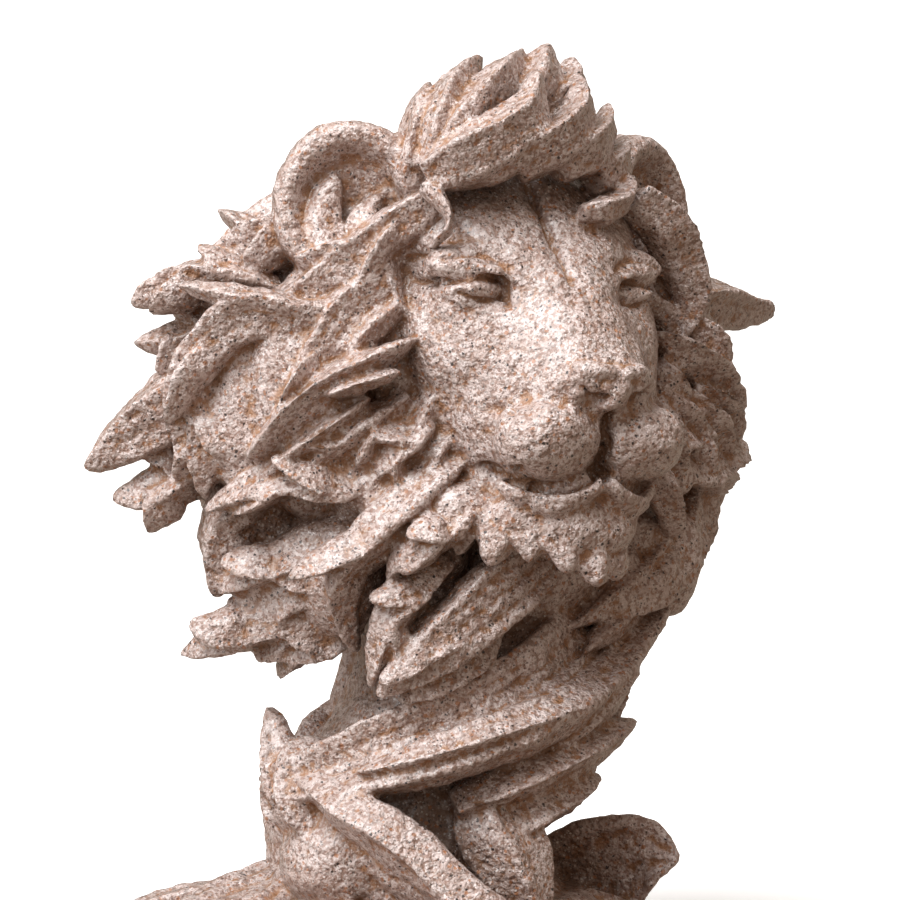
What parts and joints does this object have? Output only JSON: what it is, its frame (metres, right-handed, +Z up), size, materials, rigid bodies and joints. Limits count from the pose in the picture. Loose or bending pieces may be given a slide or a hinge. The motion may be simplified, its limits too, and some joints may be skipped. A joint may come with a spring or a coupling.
{
  "type": "lion head statue",
  "caption": "Cast sandstone statue of a lion's head, its mane winding round a narrow neck and spreading into a low round base.",
  "frame": {"origin": "on the flat underside, near the middle of the base, straight below the neck", "axes": "+Z up, the face points along -Y, +X is the lion's left"},
  "size_m": [0.2007, 0.1467, 0.2281],
  "materials": {
    "sandstone": "pinkish-beige sandstone resin with dark and rust grains, waxed"
  },
  "bodies": {
    "root": {"lion_statue": "sandstone"}
  },
  "joints": []
}
